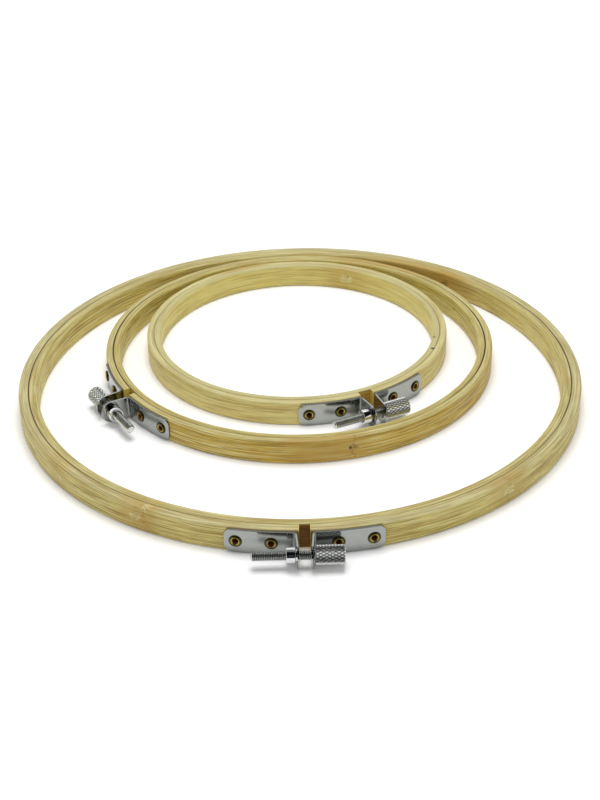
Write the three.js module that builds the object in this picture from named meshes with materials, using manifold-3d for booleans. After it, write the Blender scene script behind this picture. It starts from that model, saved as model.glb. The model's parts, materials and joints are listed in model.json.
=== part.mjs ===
// Set of three nested embroidery hoops.
//
// Every hoop is a closed inner ring and a split outer ring of bent bamboo. Fabric is laid over
// the inner ring, the outer ring is pushed down around it, and a thumbscrew pulls the two ears
// of the outer ring together until the fabric is gripped in the seam between the rings.
// Millimetres, +Z up. The hoops lie flat on z = 0 with the large hoop's clamp towards -Y.

import * as THREE from 'three';
import { mergeVertices } from 'three/addons/utils/BufferGeometryUtils.js';
import Module from 'manifold-3d';

const wasm = await Module();
wasm.setup();

// Bamboo rings
const LARGE_RADIUS = 130; // outside of the large outer ring, a 10 inch hoop
const LARGE_OUTER_WALL = 4.4;
const LARGE_INNER_WALL = 4.2;
const MEDIUM_STEP = 28.4; // from the large hoop's inside to the medium's outside, 7 inch
const MEDIUM_OUTER_WALL = 3.25;
const MEDIUM_INNER_WALL = 3.2;
const SMALL_STEP = 12.85; // from the medium hoop's inside to the small's outside, 5.5 inch
const SMALL_OUTER_WALL = 3.25;
const SMALL_INNER_WALL = 3.25;
const RING_HEIGHT = 11.5;
const EDGE_EASE = 0.6; // eased edges of the bamboo
const MOST_EASE = 0.3; // share of a wall that one eased edge may take
const SEAM = 0.3; // room for the fabric between an inner and an outer ring
const LARGE_SLOT = 4.6; // width of the saw cut in the outer ring, as far as it is closed
const MEDIUM_SLOT = 5.4;
const SMALL_SLOT = 6.6;

// How the hoops lie in each other
const NEST_GAP = 0.4; // between two hoops where they lie together at the back
const MEDIUM_LIES_AT = 89.6; // degrees, where the medium hoop lies against the large one
const SMALL_LIES_AT = 94.3;
const LARGE_CLAMP_AT = 270; // degrees, where the clamp points
const MEDIUM_CLAMP_AT = 210.7;
const SMALL_CLAMP_AT = 295.2;

// Brackets: one stamping, used twice on each hoop
const STRAP_INSET = 0.4; // from the ring's edge to the strap's edge
const STRAP_THICKNESS = 0.8;
const STRAP_REACH = 32.5; // along the ring, from the middle of the slot to the strap's end
const STRAP_CORNER = 3.2; // rounding of the strap's end
const BEND_RADIUS = 0.9; // inside of the bend between strap and ear
const EAR_SPACING = 5.2; // between the two ears at the screw
const EAR_LEAN = 4; // degrees, the ears lean together towards their tips
const SCREW_OFFSET = 8.5; // from the ring's outside to the screw's axis

// Tubular rivets through strap and ring
const EYELET_END_MARGIN = 4.75; // from the strap's end to the far eyelet
const EYELET_PITCH = 14.4; // between the two eyelets of a strap
const EYELET_BORE = 2.7;
const EYELET_WALL = 0.4;
const FLANGE_LIP = 0.7;
const FLANGE_THICKNESS = 0.5;
const CLINCH_LIP = 0.6;
const CLINCH_THICKNESS = 0.4;
const CLINCH_RECESS = 0.3; // how far the clinched end stays below the ring's inner face

// Thumbscrew and nut
const THREAD_DIAMETER = 4;
const THREAD_REACH = 21; // from the middle of the slot to the thread's tip
const TIP_CHAMFER = 0.6;
const HEAD_DIAMETER = 8;
const HEAD_LENGTH = 12;
const HEAD_CHAMFER = 0.5;
const KNURL_DEPTH = 0.35;
const KNURLS_AROUND = 14;
const NUT_DIAMETER = 7;
const NUT_LENGTH = 3.9;
const NUT_CHAMFER = 0.35;
const SPIGOT_WALL = 0.4; // of the nut's spigot, which is staked in the ear

// Fits
const FIT = 0.3; // between pieces that touch or turn on each other
const CUT_PAST = 1; // how far a cutting solid runs past what it cuts

// Fineness of the round shapes
const RING_FACET = 0.16; // how far a ring's facets may lie inside the true circle
const SCREW_SIDES = 16; // of shank, nut and ear hole
const RIVET_HOLE_SIDES = 12;
const EYELET_SIDES = 10;
const BEND_STEPS = 3; // half the straight pieces in an arc, here and in the next two
const EAR_STEPS = 6;
const CORNER_STEPS = 2;
const WELD_DISTANCE = 1e-4; // points closer than this are one point

const STRAP_HEIGHT = RING_HEIGHT - 2 * STRAP_INSET;
const EAR_RADIUS = STRAP_HEIGHT / 2;
const SCREW_RADIUS = THREAD_DIAMETER / 2;
const HEAD_RADIUS = HEAD_DIAMETER / 2;
const NUT_BORE_RADIUS = SCREW_RADIUS + FIT;
const SPIGOT_RADIUS = NUT_BORE_RADIUS + SPIGOT_WALL;
const EAR_HOLE_RADIUS = SPIGOT_RADIUS + FIT;
const BARREL_RADIUS = EYELET_BORE / 2 + EYELET_WALL;
const RIVET_HOLE_RADIUS = BARREL_RADIUS + FIT;
const EYELET_FAR = STRAP_REACH - EYELET_END_MARGIN;
const EYELET_NEAR = EYELET_FAR - EYELET_PITCH;
const LEAN = THREE.MathUtils.degToRad(EAR_LEAN);

// Materials
const bamboo = new THREE.MeshStandardMaterial({ color: 0xd2c08a, roughness: 0.62, metalness: 0 });
const bambooInner = new THREE.MeshStandardMaterial({ color: 0xd9ca98, roughness: 0.6, metalness: 0 });
const platedSteel = new THREE.MeshStandardMaterial({ color: 0xc3c6cc, roughness: 0.28, metalness: 1 });
const chrome = new THREE.MeshStandardMaterial({ color: 0xd5d6d8, roughness: 0.15, metalness: 1 });
const brass = new THREE.MeshStandardMaterial({ color: 0xb8933e, roughness: 0.3, metalness: 1 });

// Solids

function toSolid(geometry) {
  const bare = geometry.index ? geometry.toNonIndexed() : geometry.clone();
  bare.deleteAttribute('normal');
  bare.deleteAttribute('uv');
  const merged = mergeVertices(bare, WELD_DISTANCE);
  return new wasm.Manifold(new wasm.Mesh({
    numProp: 3,
    vertProperties: new Float32Array(merged.attributes.position.array),
    triVerts: new Uint32Array(merged.index.array),
  }));
}

function toGeometry(solid) {
  const { vertProperties, triVerts } = solid.getMesh();
  const geometry = new THREE.BufferGeometry();
  geometry.setAttribute('position', new THREE.BufferAttribute(new Float32Array(vertProperties), 3));
  geometry.setIndex(new THREE.BufferAttribute(new Uint32Array(triVerts), 1));
  geometry.computeVertexNormals();
  return geometry;
}

function cut(geometry, cutters) {
  let solid = toSolid(geometry);
  for (const cutter of cutters) {
    solid = solid.subtract(toSolid(cutter));
  }
  return toGeometry(solid);
}

// A profile of [radius, along] points, anticlockwise with the radius to the right, turned about
// the Y axis. It closes on itself, or starts and ends on the axis.
function revolve(profile, sides) {
  return new THREE.LatheGeometry(profile.map(([radius, along]) => new THREE.Vector2(radius, along)), sides);
}

function extruded(outline, depth, curveSegments) {
  return new THREE.ExtrudeGeometry(outline, { depth, bevelEnabled: false, curveSegments });
}

// A cylinder whose axis is the radial line at an angle from the clamp's middle
function radialCutter(radius, from, to, angle) {
  const geometry = new THREE.CylinderGeometry(radius, radius, to - from, RIVET_HOLE_SIDES);
  geometry.rotateZ(-Math.PI / 2);
  geometry.translate((from + to) / 2, 0, 0);
  geometry.rotateZ(angle);
  return geometry;
}

// Bamboo rings, in a hoop's own frame: axis Z, middle of the height at z = 0, clamp towards +X

function ringProfile(inside, outside) {
  const half = RING_HEIGHT / 2;
  const ease = Math.min(EDGE_EASE, (outside - inside) * MOST_EASE);
  return [
    [inside + ease, -half],
    [outside - ease, -half],
    [outside, -half + ease],
    [outside, half - ease],
    [outside - ease, half],
    [inside + ease, half],
    [inside, half - ease],
    [inside, -half + ease],
    [inside + ease, -half],
  ];
}

function ringGeometry(hoop, inside, outside) {
  const sidesPerQuarter = Math.ceil(Math.PI / Math.acos(1 - RING_FACET / hoop.radius) / 4);
  const geometry = revolve(ringProfile(inside, outside), 4 * sidesPerQuarter);
  geometry.rotateX(Math.PI / 2);
  return geometry;
}

function innerRing(hoop) {
  return ringGeometry(hoop, hoop.inside, hoop.seamRadius - SEAM);
}

function outerRing(hoop) {
  const slotDepth = hoop.outerWall + 2 * CUT_PAST;
  const slot = new THREE.BoxGeometry(slotDepth, hoop.slotWidth, RING_HEIGHT + 2 * CUT_PAST);
  slot.translate(hoop.radius - hoop.outerWall / 2, 0, 0);
  const cutters = [slot];
  const inside = hoop.seamRadius - CUT_PAST;
  const recessFloor = hoop.seamRadius + CLINCH_RECESS + CLINCH_THICKNESS + FIT;
  for (const along of [EYELET_NEAR, EYELET_FAR, -EYELET_NEAR, -EYELET_FAR]) {
    const angle = along / hoop.radius;
    cutters.push(radialCutter(RIVET_HOLE_RADIUS, inside, hoop.radius + CUT_PAST, angle));
    cutters.push(radialCutter(BARREL_RADIUS + CLINCH_LIP + FIT, inside, recessFloor, angle));
  }
  return cut(ringGeometry(hoop, hoop.seamRadius, hoop.radius), cutters);
}

// Bracket on the +Y side of the clamp: a strap round the ring, a bend, and an ear that leans
// towards the slot. Its outline seen from above is one strip of constant thickness.

function bracketStrip(hoop) {
  const strapInside = hoop.radius + FIT;
  const strapOutside = strapInside + STRAP_THICKNESS;
  const axisRadius = hoop.radius + SCREW_OFFSET;
  const outerBend = BEND_RADIUS + STRAP_THICKNESS;
  const bendFromCentre = strapInside + outerBend;
  // The bend touches the ear's inner face, which passes the screw's axis at half the ear spacing
  const faceOffset = (EAR_SPACING / 2) * Math.cos(LEAN) + axisRadius * Math.sin(LEAN) + outerBend;
  const bendAngle = Math.asin(faceOffset / bendFromCentre) - LEAN;
  const bendX = bendFromCentre * Math.cos(bendAngle);
  const bendY = bendFromCentre * Math.sin(bendAngle);
  const stripEnd = (STRAP_REACH + CUT_PAST) / hoop.radius;
  const tip = axisRadius + EAR_RADIUS + CUT_PAST;
  const faceY = (x) => (EAR_SPACING / 2) - (x - axisRadius) * Math.tan(LEAN);
  const backY = (x) => faceY(x) + STRAP_THICKNESS / Math.cos(LEAN);

  const strip = new THREE.Shape();
  strip.absarc(0, 0, strapInside, stripEnd, bendAngle, true);
  strip.absarc(bendX, bendY, outerBend, Math.PI + bendAngle, 1.5 * Math.PI - LEAN, false);
  strip.lineTo(tip, faceY(tip));
  strip.lineTo(tip, backY(tip));
  strip.absarc(bendX, bendY, BEND_RADIUS, 1.5 * Math.PI - LEAN, Math.PI + bendAngle, true);
  strip.absarc(0, 0, strapOutside, bendAngle, stripEnd, false);
  strip.closePath();
  return strip;
}

// Everything outside the ear's round end, as a plate across the ear
function earTrim(hoop) {
  const axisRadius = hoop.radius + SCREW_OFFSET;
  const tip = axisRadius + EAR_RADIUS + 2 * CUT_PAST;
  const edge = EAR_RADIUS + CUT_PAST;
  const outline = new THREE.Shape();
  outline.moveTo(axisRadius, EAR_RADIUS);
  outline.lineTo(axisRadius, edge);
  outline.lineTo(tip, edge);
  outline.lineTo(tip, -edge);
  outline.lineTo(axisRadius, -edge);
  outline.lineTo(axisRadius, -EAR_RADIUS);
  outline.absarc(axisRadius, 0, EAR_RADIUS, -Math.PI / 2, Math.PI / 2, false);
  const reach = EAR_SPACING + STRAP_THICKNESS + 2 * CUT_PAST;
  const geometry = extruded(outline, reach, EAR_STEPS);
  geometry.rotateX(Math.PI / 2);
  geometry.translate(0, reach - CUT_PAST, 0);
  return geometry;
}

// Everything outside the strap's round-cornered end, as a block across the strap
function endTrim(hoop) {
  const half = STRAP_HEIGHT / 2;
  const corner = Math.min(STRAP_CORNER, half);
  const outline = new THREE.Shape();
  outline.moveTo(half, -corner);
  outline.lineTo(half + CUT_PAST, -corner);
  outline.lineTo(half + CUT_PAST, 2 * CUT_PAST);
  outline.lineTo(-half - CUT_PAST, 2 * CUT_PAST);
  outline.lineTo(-half - CUT_PAST, -corner);
  outline.lineTo(-half, -corner);
  outline.absarc(corner - half, -corner, corner, Math.PI, Math.PI / 2, true);
  outline.lineTo(half - corner, 0);
  outline.absarc(half - corner, -corner, corner, Math.PI / 2, 0, true);
  const geometry = extruded(outline, STRAP_THICKNESS + 2 * CUT_PAST, CORNER_STEPS);
  // The outline's x becomes the height and its y runs along the ring, away from the clamp
  geometry.applyMatrix4(new THREE.Matrix4().makeBasis(
    new THREE.Vector3(0, 0, 1),
    new THREE.Vector3(0, 1, 0),
    new THREE.Vector3(-1, 0, 0),
  ));
  geometry.translate(hoop.radius + FIT + STRAP_THICKNESS + CUT_PAST, 0, 0);
  geometry.rotateZ(STRAP_REACH / hoop.radius);
  return geometry;
}

function bracket(hoop) {
  const pressing = extruded(bracketStrip(hoop), STRAP_HEIGHT, BEND_STEPS);
  pressing.translate(0, 0, -STRAP_HEIGHT / 2);
  const holeLength = EAR_SPACING + 2 * CUT_PAST;
  const screwHole = new THREE.CylinderGeometry(EAR_HOLE_RADIUS, EAR_HOLE_RADIUS, holeLength, SCREW_SIDES);
  screwHole.translate(hoop.radius + SCREW_OFFSET, holeLength / 2, 0);
  const strapInside = hoop.radius + FIT - CUT_PAST;
  const strapOutside = hoop.radius + FIT + STRAP_THICKNESS + CUT_PAST;
  const rivetHoles = [EYELET_NEAR, EYELET_FAR].map((along) => (
    radialCutter(RIVET_HOLE_RADIUS, strapInside, strapOutside, along / hoop.radius)
  ));
  return cut(pressing, [earTrim(hoop), endTrim(hoop), screwHole, ...rivetHoles]);
}

// Tubular rivet, its axis turned from Y to the radial line
function eyelet(hoop, along) {
  const bore = EYELET_BORE / 2;
  const flange = BARREL_RADIUS + FLANGE_LIP;
  const clinch = BARREL_RADIUS + CLINCH_LIP;
  const innerEnd = hoop.seamRadius + CLINCH_RECESS;
  const seat = hoop.radius + 2 * FIT + STRAP_THICKNESS;
  const outerEnd = seat + FLANGE_THICKNESS;
  const round = FLANGE_THICKNESS / 2;
  const geometry = revolve([
    [bore, innerEnd],
    [clinch, innerEnd],
    [clinch, innerEnd + CLINCH_THICKNESS],
    [BARREL_RADIUS, innerEnd + CLINCH_THICKNESS],
    [BARREL_RADIUS, seat],
    [flange, seat],
    [flange - round, outerEnd],
    [bore + round, outerEnd],
    [bore, outerEnd - round],
    [bore, innerEnd],
  ], EYELET_SIDES);
  geometry.rotateZ(-Math.PI / 2);
  geometry.rotateZ(along / hoop.radius);
  return geometry;
}

// Thumbscrew and nut, with the screw's axis along Y at the screw offset

// From the middle of the slot to the outer face of an ear, where a disc of this radius meets it
function earBack(discRadius) {
  return EAR_SPACING / 2 + STRAP_THICKNESS / Math.cos(LEAN) + discRadius * Math.tan(LEAN);
}

// A turned head whose rows of points lie high and low in turn. Each square of points is split
// between its two low corners, which leaves a pyramid on every high point: the diamonds.
function knurledHead(start) {
  const sides = 2 * KNURLS_AROUND;
  const knurled = HEAD_LENGTH - 2 * HEAD_CHAMFER;
  const rows = Math.round(knurled / (2 * Math.PI * HEAD_RADIUS / sides));
  const faceRadius = HEAD_RADIUS - HEAD_CHAMFER - KNURL_DEPTH;
  const profile = [[0, start], [faceRadius, start]];
  const firstRow = profile.length;
  for (let row = 0; row <= rows; row++) {
    profile.push([HEAD_RADIUS, start + HEAD_CHAMFER + knurled * row / rows]);
  }
  profile.push([faceRadius, start + HEAD_LENGTH], [0, start + HEAD_LENGTH]);
  const geometry = revolve(profile, sides);

  const isLow = (column, row) => row >= 0 && row <= rows && (column + row) % 2 === 1;
  const points = geometry.attributes.position;
  const low = (HEAD_RADIUS - KNURL_DEPTH) / HEAD_RADIUS;
  for (let i = 0; i < points.count; i++) {
    if (isLow(Math.floor(i / profile.length), i % profile.length - firstRow)) {
      points.setX(i, points.getX(i) * low);
      points.setZ(i, points.getZ(i) * low);
    }
  }

  const triangles = [];
  for (let column = 0; column < sides; column++) {
    for (let level = 0; level < profile.length - 1; level++) {
      const a = column * profile.length + level;
      const b = a + profile.length;
      const row = level - firstRow;
      if (isLow(column, row) && isLow(column + 1, row + 1)) {
        triangles.push(a, b, b + 1, a, b + 1, a + 1);
      } else {
        triangles.push(a, b, a + 1, b + 1, a + 1, b);
      }
    }
  }
  geometry.setIndex(triangles);
  return geometry;
}

function thumbscrew(hoop) {
  const headStart = earBack(HEAD_RADIUS) + FIT;
  const shank = revolve([
    [0, -THREAD_REACH],
    [SCREW_RADIUS - TIP_CHAMFER, -THREAD_REACH],
    [SCREW_RADIUS, -THREAD_REACH + TIP_CHAMFER],
    [SCREW_RADIUS, headStart + HEAD_CHAMFER],
    [0, headStart + HEAD_CHAMFER],
  ], SCREW_SIDES);
  const geometry = toGeometry(toSolid(shank).add(toSolid(knurledHead(headStart))));
  geometry.translate(hoop.radius + SCREW_OFFSET, 0, 0);
  return geometry;
}

// Round nut on the outer face of its ear, with a spigot that is staked through the ear's hole
function clampNut(hoop) {
  const radius = NUT_DIAMETER / 2;
  const collarStart = earBack(radius) + FIT;
  const collarEnd = collarStart + NUT_LENGTH;
  const geometry = revolve([
    [NUT_BORE_RADIUS, EAR_SPACING / 2],
    [SPIGOT_RADIUS, EAR_SPACING / 2],
    [SPIGOT_RADIUS, collarStart],
    [radius - NUT_CHAMFER, collarStart],
    [radius, collarStart + NUT_CHAMFER],
    [radius, collarEnd - NUT_CHAMFER],
    [radius - NUT_CHAMFER, collarEnd],
    [NUT_BORE_RADIUS, collarEnd],
    [NUT_BORE_RADIUS, EAR_SPACING / 2],
  ], SCREW_SIDES);
  geometry.translate(hoop.radius + SCREW_OFFSET, 0, 0);
  return geometry;
}

// Assembly

function named(name, geometry, material) {
  const mesh = new THREE.Mesh(geometry, material);
  mesh.name = name;
  return mesh;
}

// One side of the clamp: a bracket and the two eyelets that hold it
function clampSide(hoop, bracketName, firstEyelet) {
  const side = new THREE.Group();
  side.add(named(`${hoop.name}_${bracketName}`, bracket(hoop), platedSteel));
  [EYELET_NEAR, EYELET_FAR].forEach((along, index) => {
    side.add(named(`${hoop.name}_eyelet_${firstEyelet + index}`, eyelet(hoop, along), brass));
  });
  return side;
}

function buildHoop(hoop) {
  const body = new THREE.Group();
  body.add(named(`${hoop.name}_outer_ring`, outerRing(hoop), bamboo));
  body.add(named(`${hoop.name}_inner_ring`, innerRing(hoop), bambooInner));
  body.add(clampSide(hoop, 'head_bracket', 1));
  body.add(named(`${hoop.name}_thumbscrew`, thumbscrew(hoop), chrome));
  // The nut's side is the same stamping turned over
  const nutSide = clampSide(hoop, 'nut_bracket', 3);
  nutSide.add(named(`${hoop.name}_clamp_nut`, clampNut(hoop), chrome));
  nutSide.rotation.x = Math.PI;
  body.add(nutSide);
  body.rotation.x = hoop.turnedOver ? Math.PI : 0;

  const placed = new THREE.Group();
  placed.add(body);
  placed.rotation.z = THREE.MathUtils.degToRad(hoop.clampAt);
  placed.position.set(hoop.x, hoop.y, RING_HEIGHT / 2);
  return placed;
}

// Adds where a hoop lies, against the inside of the hoop around it. The large one lies in none.
function placedHoop(hoop, around, liesAt) {
  const seamRadius = hoop.radius - hoop.outerWall;
  const inside = seamRadius - SEAM - hoop.innerWall;
  const shift = around ? around.inside - hoop.radius - NEST_GAP : 0;
  const towards = THREE.MathUtils.degToRad(liesAt);
  const x = (around ? around.x : 0) + shift * Math.cos(towards);
  const y = (around ? around.y : 0) + shift * Math.sin(towards);
  return { ...hoop, seamRadius, inside, x, y };
}

const large = placedHoop({
  name: 'large',
  radius: LARGE_RADIUS,
  outerWall: LARGE_OUTER_WALL,
  innerWall: LARGE_INNER_WALL,
  slotWidth: LARGE_SLOT,
  clampAt: LARGE_CLAMP_AT,
  turnedOver: false,
}, null, 0);
const medium = placedHoop({
  name: 'medium',
  radius: large.inside - MEDIUM_STEP,
  outerWall: MEDIUM_OUTER_WALL,
  innerWall: MEDIUM_INNER_WALL,
  slotWidth: MEDIUM_SLOT,
  clampAt: MEDIUM_CLAMP_AT,
  turnedOver: true,
}, large, MEDIUM_LIES_AT);
const small = placedHoop({
  name: 'small',
  radius: medium.inside - SMALL_STEP,
  outerWall: SMALL_OUTER_WALL,
  innerWall: SMALL_INNER_WALL,
  slotWidth: SMALL_SLOT,
  clampAt: SMALL_CLAMP_AT,
  turnedOver: false,
}, medium, SMALL_LIES_AT);

const hoopSet = new THREE.Group();
for (const hoop of [large, medium, small]) {
  hoopSet.add(buildHoop(hoop));
}
// The frame's origin is the middle of the footprint, between the ring's back and the ears' tips
const frontReach = LARGE_RADIUS + SCREW_OFFSET + EAR_RADIUS;
hoopSet.position.y = (frontReach - LARGE_RADIUS) / 2;

export default hoopSet;
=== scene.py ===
# %% [markdown]
# # Three bamboo embroidery hoops, one inside the other
#
# An embroidery hoop is two bamboo rings. Cloth is laid over the inner ring, the outer ring is
# pushed down around it, and a thumbscrew pulls the two ends of the outer ring together. The
# construction is already settled in the frame: where each ring lies, how wide it is, where its
# clamp points and how its screw turns. This script gives every piece its real surface.
#
# All sizes below are millimetres, and the meshes are scaled to metres when they are placed.

import json
import math

import bmesh
import bpy
from mathutils import Matrix, Quaternion, Vector


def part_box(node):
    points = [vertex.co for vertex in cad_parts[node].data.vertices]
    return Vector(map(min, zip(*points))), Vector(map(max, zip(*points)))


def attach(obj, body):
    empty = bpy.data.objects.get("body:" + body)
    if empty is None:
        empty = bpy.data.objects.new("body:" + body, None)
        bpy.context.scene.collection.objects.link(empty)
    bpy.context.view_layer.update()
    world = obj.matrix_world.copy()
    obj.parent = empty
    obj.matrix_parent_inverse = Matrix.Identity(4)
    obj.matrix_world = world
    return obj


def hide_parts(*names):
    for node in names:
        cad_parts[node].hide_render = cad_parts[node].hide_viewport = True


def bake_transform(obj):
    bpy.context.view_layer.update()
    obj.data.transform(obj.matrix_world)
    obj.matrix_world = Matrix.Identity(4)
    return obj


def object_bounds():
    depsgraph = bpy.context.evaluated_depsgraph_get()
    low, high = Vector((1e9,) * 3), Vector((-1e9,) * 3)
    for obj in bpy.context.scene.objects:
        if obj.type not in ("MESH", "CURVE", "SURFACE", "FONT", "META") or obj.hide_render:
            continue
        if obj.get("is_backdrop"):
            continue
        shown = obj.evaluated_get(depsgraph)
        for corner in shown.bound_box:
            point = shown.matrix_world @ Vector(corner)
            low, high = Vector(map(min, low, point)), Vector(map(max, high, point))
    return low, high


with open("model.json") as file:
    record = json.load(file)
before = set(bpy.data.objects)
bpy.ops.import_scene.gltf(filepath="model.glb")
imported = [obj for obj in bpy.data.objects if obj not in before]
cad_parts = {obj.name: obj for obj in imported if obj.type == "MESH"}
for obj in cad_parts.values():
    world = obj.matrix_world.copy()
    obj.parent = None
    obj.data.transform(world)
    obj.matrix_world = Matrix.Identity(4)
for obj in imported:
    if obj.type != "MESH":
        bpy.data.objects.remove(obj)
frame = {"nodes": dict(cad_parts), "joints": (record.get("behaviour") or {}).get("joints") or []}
cad_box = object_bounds()
scene = bpy.context.scene
MM = 0.001

# %% [markdown]
# ## The camera
#
# The hoops are seen from in front and above, at about thirty degrees. The camera could be turned
# by hand until the rings look right, but two ellipses fix it better: the width of the large ring
# gives the distance, and the height of its ellipse gives the tilt. The lens is a short telephoto,
# so the back of the ring isn't much smaller than the front.

# %% Camera
CAMERA_AT = Vector((-3.3, -622.475, 371.5)) * MM
CAMERA_AIM = Vector((0, 6.925, 0)) * MM
CAMERA_LENS = 69.84
CAMERA_ROLL = math.radians(-1.2)
CAMERA_SHIFT = -0.0144

camera = bpy.data.objects.new("camera", bpy.data.cameras.new("camera"))
scene.collection.objects.link(camera)
camera.location = CAMERA_AT
camera.rotation_mode = "QUATERNION"
look = (CAMERA_AIM - CAMERA_AT).to_track_quat("-Z", "Y")
camera.rotation_quaternion = look @ Quaternion((0, 0, 1), CAMERA_ROLL)
camera.data.lens = CAMERA_LENS
camera.data.shift_y = CAMERA_SHIFT
scene.camera = camera
scene.view_settings.view_transform = "Standard"
print("camera:", round((CAMERA_AIM - CAMERA_AT).length / MM), "mm from the hoops")

# %% [markdown]
# ## Writing materials as sums
#
# A material is a network of small nodes. Drawn by hand it soon looks like a plate of noodles, so
# here a socket is wrapped in a Python object that knows plus, minus and times. The sum
# `1 - mask * 0.5` then adds its own Math nodes. Everything that isn't a sum, such as a noise or a
# mix of two colours, comes from one method, `node`.

# %% Shader sums
class Wire:
    """A socket that can stand in a sum. Each operator adds one Math node."""

    def __init__(self, shader, socket):
        self.shader = shader
        self.socket = socket

    def maths(self, operation, first, second=0.0):
        return self.shader.node("ShaderNodeMath", {"operation": operation}, {0: first, 1: second})

    def __add__(self, other):
        return self.maths("ADD", self, other)

    def __radd__(self, other):
        return self.maths("ADD", other, self)

    def __sub__(self, other):
        return self.maths("SUBTRACT", self, other)

    def __rsub__(self, other):
        return self.maths("SUBTRACT", other, self)

    def __mul__(self, other):
        return self.maths("MULTIPLY", self, other)

    def __rmul__(self, other):
        return self.maths("MULTIPLY", other, self)

    def __truediv__(self, other):
        return self.maths("DIVIDE", self, other)

    def size(self):
        return self.maths("ABSOLUTE", self)

    def root(self):
        return self.maths("SQRT", self)

    def most(self, other):
        return self.maths("MAXIMUM", self, other)

    def ramp(self, start, end):
        """0 below start and 1 above end, with a smooth rise between them. end may be the lower."""
        low, high, first, last = (start, end, 0.0, 1.0) if start < end else (end, start, 1.0, 0.0)
        return self.shader.node(
            "ShaderNodeMapRange",
            {"interpolation_type": "SMOOTHSTEP"},
            {"Value": self, "From Min": low, "From Max": high, "To Min": first, "To Max": last},
        )


class Shader:
    """The nodes of one material, or of the world."""

    def __init__(self, owner):
        owner.use_nodes = True
        self.owner = owner
        self.tree = owner.node_tree
        self.tree.nodes.clear()

    def node(self, kind, settings, inputs, output=0):
        made = self.tree.nodes.new(kind)
        for setting, value in settings.items():
            setattr(made, setting, value)
        for key, value in inputs.items():
            if isinstance(value, Wire):
                self.tree.links.new(value.socket, made.inputs[key])
            else:
                made.inputs[key].default_value = value
        return Wire(self, made.outputs[output]) if made.outputs else made

    def mix(self, factor, first, second, blend="MIX"):
        """Sockets 6 and 7 of a Mix node are its colours, and 2 is the mixed colour."""
        settings = {"data_type": "RGBA", "blend_type": blend}
        return self.node("ShaderNodeMix", settings, {0: factor, 6: first, 7: second}, 2)

    def surface(self, **sockets):
        inputs = {name.replace("_", " "): value for name, value in sockets.items()}
        shaded = self.node("ShaderNodeBsdfPrincipled", {}, inputs)
        self.node("ShaderNodeOutputMaterial", {}, {"Surface": shaded})
        return self.owner


def finish_named(name):
    return Shader(bpy.data.materials.new(name))


def colour(red, green, blue):
    """A colour as it is read off a screen, 0 to 255, turned into the light that a shader wants."""
    def linear(level):
        share = level / 255
        return share / 12.92 if share <= 0.04045 else ((share + 0.055) / 1.055) ** 2.4
    return (linear(red), linear(green), linear(blue), 1.0)


WHITE = colour(255, 255, 255)
BLACK = colour(0, 0, 0)
print("shader sums ready")

# %% [markdown]
# ## The table and the light
#
# The hoops lie on a white table in soft studio light. One wide lamp hangs overhead, a little
# behind the hoops, so the tops are lit and the shadows fall narrow and towards the camera. The
# world fills in the rest. To the camera and in the metal the world is plain white. White paint
# under this light would come out a pale grey, so the table also glows a little to the camera
# alone: hardly at all round the hoops, where their shadow lies, and more further out, until it
# melts into the white behind.
#
# Polished metal in a room that is white all round looks like paper. A photographer hangs black
# cards where only the metal sees them, and so does this script: the cards are seen by nothing but
# reflections.

# %% Table, world, lamp and cards
TABLE_SIZE = 6.0
LIFT_NEAR, LIFT_FAR = 0.09, 0.56  # how much the table glows near the hoops and far from them
LIFT_FROM, LIFT_TO = 0.15, 0.6  # metres from the middle between which that changes
AMBIENT = 0.48
LAMP_AT = (0.0, 0.1, 1.1)
LAMP_WIDTH = 0.6
LAMP_POWER = 7.6
CARD_OVERHEAD = {"width": 1.8, "depth": 1.25, "place": (0, -0.42, 0.62), "tilt": 0.0}
CARD_IN_FRONT = {"width": 2.4, "depth": 0.8, "place": (0, -1.5, 0.5), "tilt": math.pi / 2}


def sheet(name, material, width, depth, place=(0, 0, 0), tilt=0.0):
    """A flat stage sheet. A tilt of 0 lies flat and a quarter turn stands facing the hoops."""
    bm = bmesh.new()
    bmesh.ops.create_grid(bm, x_segments=1, y_segments=1, size=0.5)
    bmesh.ops.scale(bm, vec=(width, depth, 1), verts=bm.verts)
    bmesh.ops.rotate(bm, verts=bm.verts, matrix=Matrix.Rotation(tilt, 3, "X"))
    bmesh.ops.translate(bm, verts=bm.verts, vec=place)
    mesh = bpy.data.meshes.new(name)
    bm.to_mesh(mesh)
    bm.free()
    mesh.materials.append(material)
    made = bpy.data.objects.new(name, mesh)
    scene.collection.objects.link(made)
    made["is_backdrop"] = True
    return made


def table_white():
    shader = finish_named("table_white")
    seen = shader.node("ShaderNodeLightPath", {}, {}, "Is Camera Ray")
    where = shader.node("ShaderNodeTexCoord", {}, {}, "Object")
    away = shader.node("ShaderNodeVectorMath", {"operation": "LENGTH"}, {0: where}, "Value")
    lift = seen * (LIFT_NEAR + away.ramp(LIFT_FROM, LIFT_TO) * (LIFT_FAR - LIFT_NEAR))
    return shader.surface(Base_Color=WHITE, Roughness=1.0, Specular_IOR_Level=0.0,
                          Emission_Color=shader.mix(lift, BLACK, WHITE), Emission_Strength=1.0)


def light_the_room():
    world = bpy.data.worlds.new("white_room")
    scene.world = world
    shader = Shader(world)
    rays = ["Is Camera Ray", "Is Glossy Ray", "Is Transmission Ray"]
    camera_ray, glossy_ray, through_ray = (
        shader.node("ShaderNodeLightPath", {}, {}, ray) for ray in rays)
    plain = camera_ray.most(glossy_ray).most(through_ray)
    strength = plain * (1 - AMBIENT) + AMBIENT
    background = shader.node("ShaderNodeBackground", {}, {"Color": WHITE, "Strength": strength})
    shader.node("ShaderNodeOutputWorld", {}, {"Surface": background})


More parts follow.
